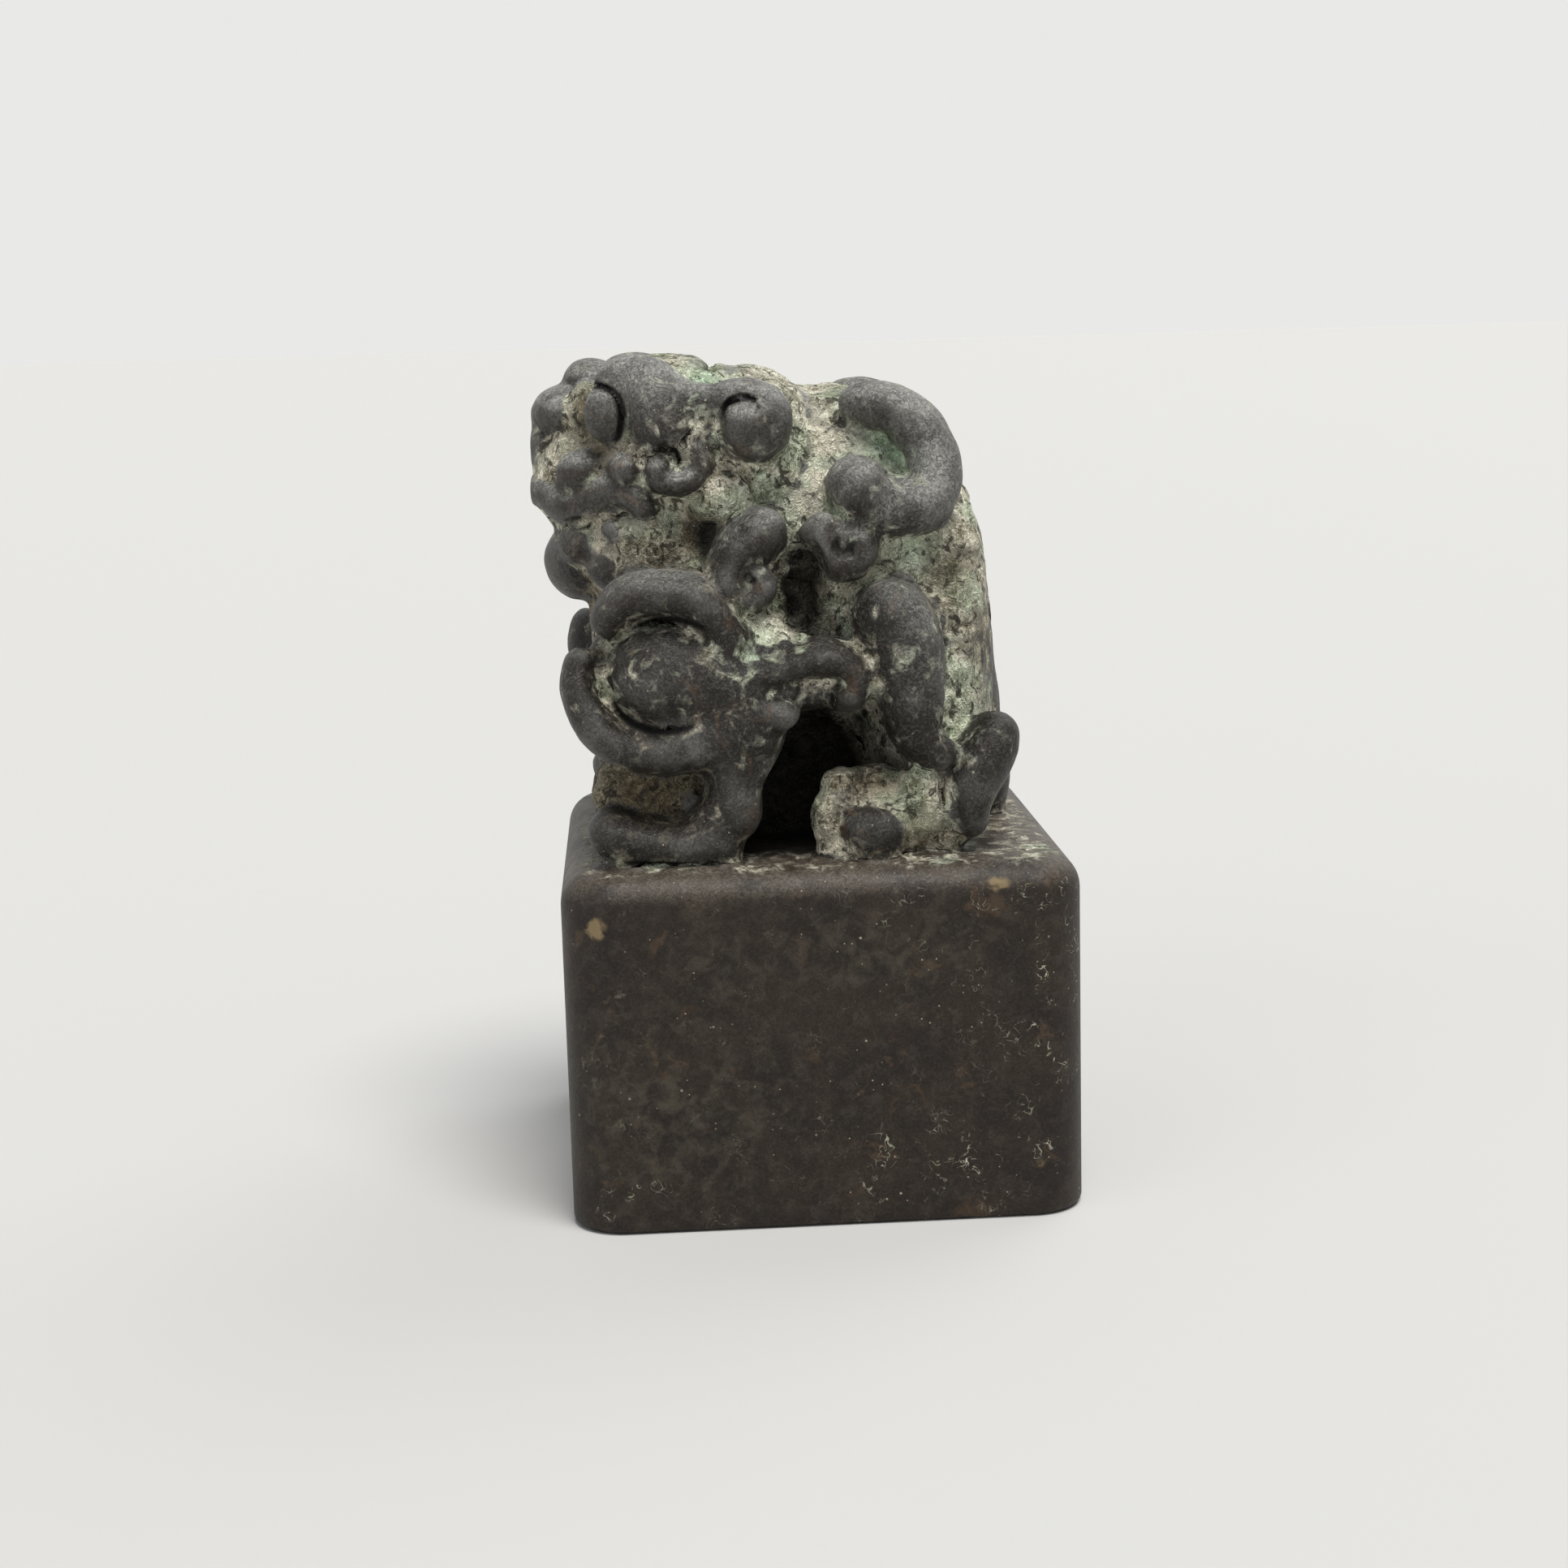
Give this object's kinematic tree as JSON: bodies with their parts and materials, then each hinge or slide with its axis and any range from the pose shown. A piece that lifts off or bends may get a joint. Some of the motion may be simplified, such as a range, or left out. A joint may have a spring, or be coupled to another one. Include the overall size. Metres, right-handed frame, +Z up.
{
  "type": "seal stamp",
  "caption": "Small cast bronze seal stamp: rounded square block with a geometric fret cut in its face and a crouching guardian beast with curled locks as the grip.",
  "frame": {"origin": "middle of the square seal face, on the plane that prints", "axes": "+Z up out of the block through the beast, the beast faces -X, its left side is towards -Y"},
  "size_m": [0.026, 0.025, 0.0419],
  "materials": {
    "bronze": "cast bronze with a dark brown patina, semi-matte, green-grey verdigris in the crevices"
  },
  "bodies": {
    "root": {"seal_block": "bronze", "torso": "bronze", "rump": "bronze", "chest": "bronze", "belly": "bronze", "mane": "bronze", "skull": "bronze", "muzzle": "bronze", "throat": "bronze", "chin": "bronze", "forehead_knob": "bronze", "nose_bridge": "bronze", "nose_tip": "bronze", "upper_lip": "bronze", "nostrils": "bronze", "cheek_beads": "bronze", "fangs": "bronze", "elbow_knobs": "bronze", "tail": "bronze", "left_eye": "bronze", "right_eye": "bronze", "left_brow": "bronze", "right_brow": "bronze", "left_jowl": "bronze", "right_jowl": "bronze", "left_temple_curl": "bronze", "right_temple_curl": "bronze", "left_ear_bead": "bronze", "right_ear_bead": "bronze", "left_ear_roll": "bronze", "right_ear_roll": "bronze", "left_long_lock": "bronze", "right_long_lock": "bronze", "left_small_curl": "bronze", "right_small_curl": "bronze", "left_back_curl": "bronze", "right_back_curl": "bronze", "left_shoulder_ball": "bronze", "right_shoulder_ball": "bronze", "left_shoulder_roll": "bronze", "right_shoulder_roll": "bronze", "left_cuff": "bronze", "right_cuff": "bronze", "left_elbow_flame": "bronze", "right_elbow_flame": "bronze", "left_foreleg": "bronze", "right_foreleg": "bronze", "left_forefoot": "bronze", "right_forefoot": "bronze", "left_thigh": "bronze", "right_thigh": "bronze", "left_hock": "bronze", "right_hock": "bronze", "left_hind_foot": "bronze", "right_hind_foot": "bronze", "left_hind_toe": "bronze", "right_hind_toe": "bronze", "left_inner_toe": "bronze", "right_inner_toe": "bronze"}
  },
  "joints": []
}
